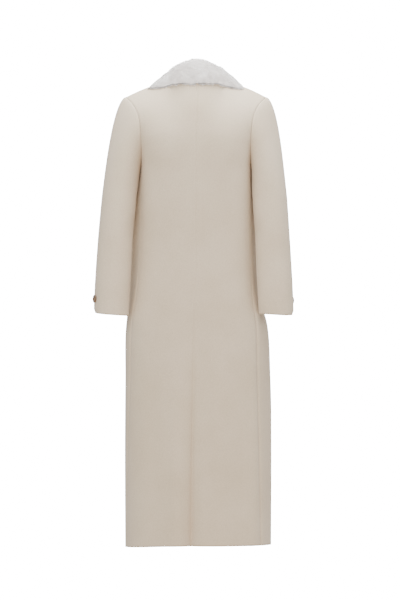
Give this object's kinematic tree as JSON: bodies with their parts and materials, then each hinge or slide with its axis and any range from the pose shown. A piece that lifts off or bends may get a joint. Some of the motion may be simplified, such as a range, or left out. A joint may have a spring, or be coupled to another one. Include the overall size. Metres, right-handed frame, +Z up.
{
  "type": "fur-collar coat",
  "caption": "Full-length straight wool coat with a fur shawl collar, in its worn form with no wearer.",
  "frame": {"origin": "middle of the neck opening at the height of the shoulders, where the wearer's neck and shoulders hold the coat", "axes": "+Z up the wearer's body, -Y out of the coat's front, +X to the wearer's left"},
  "size_m": [0.5545, 0.2553, 1.3476],
  "materials": {
    "wool": "soft ivory wool coating with a short nap",
    "fur": "dense short white fur",
    "button": "polished brown horn"
  },
  "bodies": {
    "root": {"back_left": "wool", "back_right": "wool", "front_left": "wool", "front_right": "wool", "sleeve_left": "wool", "sleeve_right": "wool", "fur_collar": "fur", "cuff_button_left": "button", "cuff_button_right": "button", "front_button_1": "button", "front_button_2": "button", "front_button_3": "button"}
  },
  "joints": []
}
